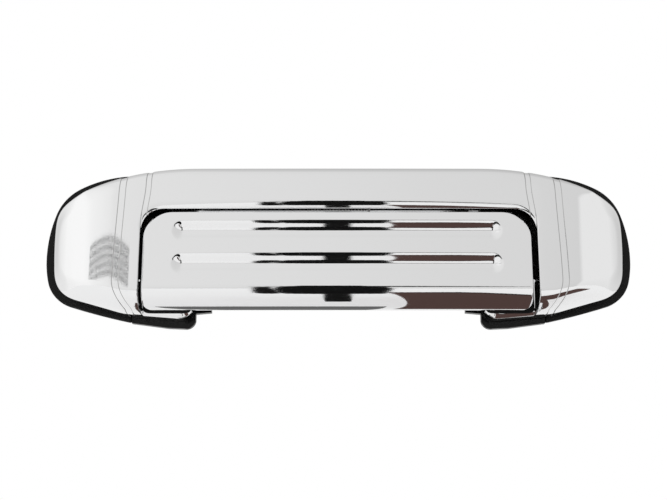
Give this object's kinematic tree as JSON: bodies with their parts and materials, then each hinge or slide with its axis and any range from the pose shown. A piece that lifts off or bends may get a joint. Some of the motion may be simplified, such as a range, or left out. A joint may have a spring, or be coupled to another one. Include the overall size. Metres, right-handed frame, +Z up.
{
  "type": "car door handle",
  "caption": "Outer pull-flap car door handle: chromed arch bezel with domed end caps, hinged flap with two long channels, rubber end gaskets, black rear frame and release lever.",
  "frame": {"origin": "midpoint between the two mounting studs on the door-skin plane", "axes": "+X along the handle's length, +Y into the door along the studs, +Z up; the visible face looks towards -Y"},
  "size_m": [0.2514, 0.0516, 0.0678],
  "materials": {
    "chrome_bezel": "mirror polished chrome plate",
    "chrome_flap": "mirror polished chrome plate",
    "gloss_black_frame": "gloss moulded",
    "gasket_rubber": "matte",
    "stop_rubber": "matte",
    "zinc_steel": "yellow zinc plated",
    "zinc_lever": "clear zinc plated pressing",
    "bright_steel": "ground",
    "black_steel": "black phosphate",
    "spring_steel": "drawn wire",
    "white_acetal": "natural acetal",
    "carrier_nylon": "moulded, fine texture",
    "clip_plastic": "moulded orange"
  },
  "bodies": {
    "frame": {"bezel_shell": "chrome_bezel", "base_frame": "gloss_black_frame", "end_gasket_left": "gasket_rubber", "end_gasket_right": "gasket_rubber", "mounting_studs": "zinc_steel", "bezel_screws": "zinc_steel", "hinge_pin": "bright_steel", "hinge_pin_clips": "black_steel", "bump_stop_left": "stop_rubber", "bump_stop_right": "stop_rubber", "lever_pivot_pin": "bright_steel", "lever_washer": "white_acetal", "lever_clip": "black_steel", "lever_stop_buffer": "stop_rubber"},
    "flap": {"flap_cover": "chrome_flap", "flap_carrier": "carrier_nylon", "flap_screws": "zinc_steel", "hinge_bush_left": "white_acetal", "hinge_bush_right": "white_acetal", "push_pad": "white_acetal", "flap_return_spring": "spring_steel"},
    "lever": {"release_lever": "zinc_lever", "lever_bush": "white_acetal", "lever_return_spring": "spring_steel"},
    "rod_clip": {"rod_clip": "clip_plastic"}
  },
  "joints": [
    {"name": "flap_hinge", "type": "hinge", "parent": "frame", "child": "flap", "pos_m": [0, -0.0188, 0.0133], "axis": [-1, 0, 0], "range_deg": [0, 25], "stiffness_Nm_per_rad": 0.4, "springref_deg": -22.92, "deforming": ["flap_return_spring"]},
    {"name": "lever_hinge", "type": "hinge", "parent": "frame", "child": "lever", "pos_m": [0.081, 0, 0.0066], "axis": [0, -1, 0], "range_deg": [0, 25.5], "stiffness_Nm_per_rad": 0.05, "springref_deg": -17.19, "deforming": ["lever_return_spring"]},
    {"name": "rod_swivel", "type": "hinge", "parent": "lever", "child": "rod_clip", "pos_m": [0.091, 0, 0.0231], "axis": [0, -1, 0], "range_deg": [-40, 40]}
  ],
  "couplings": [
    {"joint": "lever_hinge", "follows": "flap_hinge", "ratio": 1}
  ]
}
